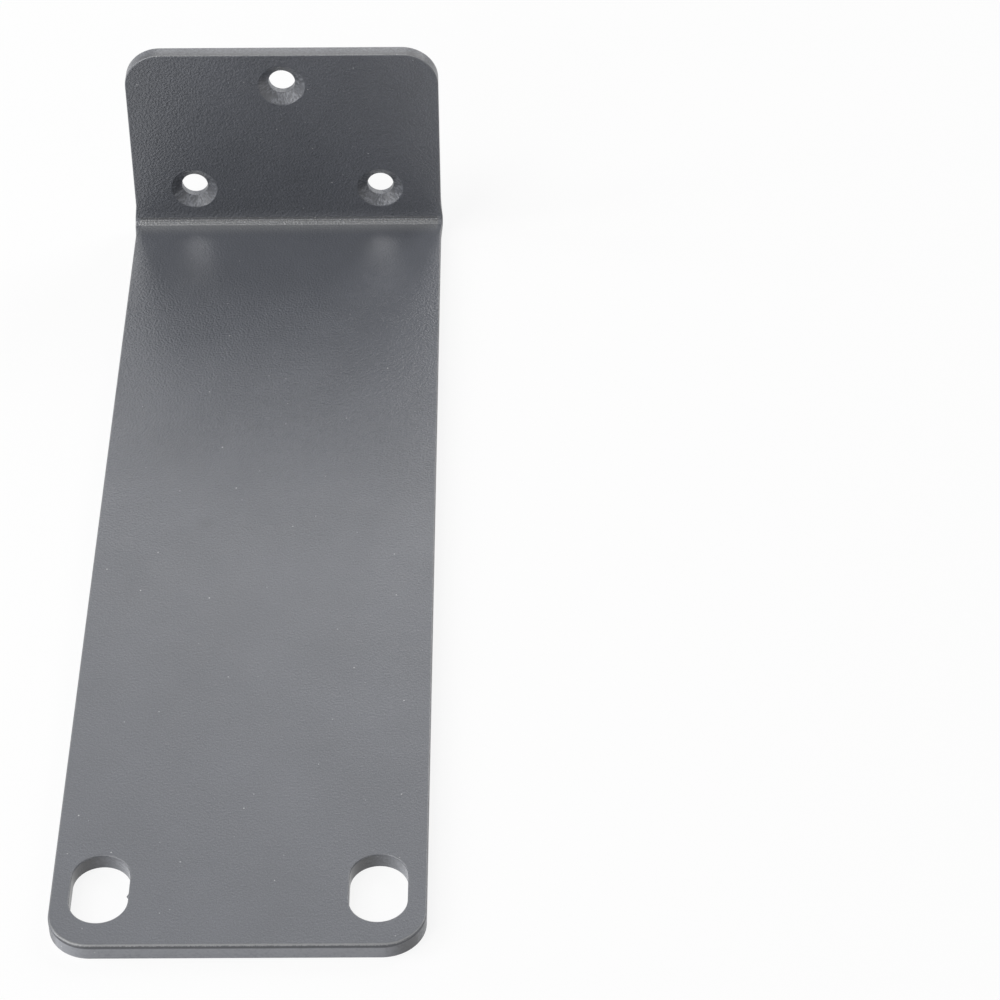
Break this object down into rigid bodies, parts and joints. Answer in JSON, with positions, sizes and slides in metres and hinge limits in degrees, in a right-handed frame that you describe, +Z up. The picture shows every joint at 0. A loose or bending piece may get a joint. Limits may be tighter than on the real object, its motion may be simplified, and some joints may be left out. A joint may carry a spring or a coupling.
{
  "type": "rack mount ear bracket",
  "caption": "Folded steel ear that fixes a small desktop device in a 19 inch rack: slotted panel flange, short countersunk device flange.",
  "frame": {"origin": "under the middle of the bracket's box, on the underside of the panel flange", "axes": "+X along the fold, +Y from the slotted end towards the device flange, +Z up, the way the device flange stands"},
  "size_m": [0.0432, 0.137, 0.03],
  "materials": {
    "powder_coat": "fine textured satin powder coat, dark grey"
  },
  "bodies": {
    "root": {"ear_bracket": "powder_coat"}
  },
  "joints": []
}
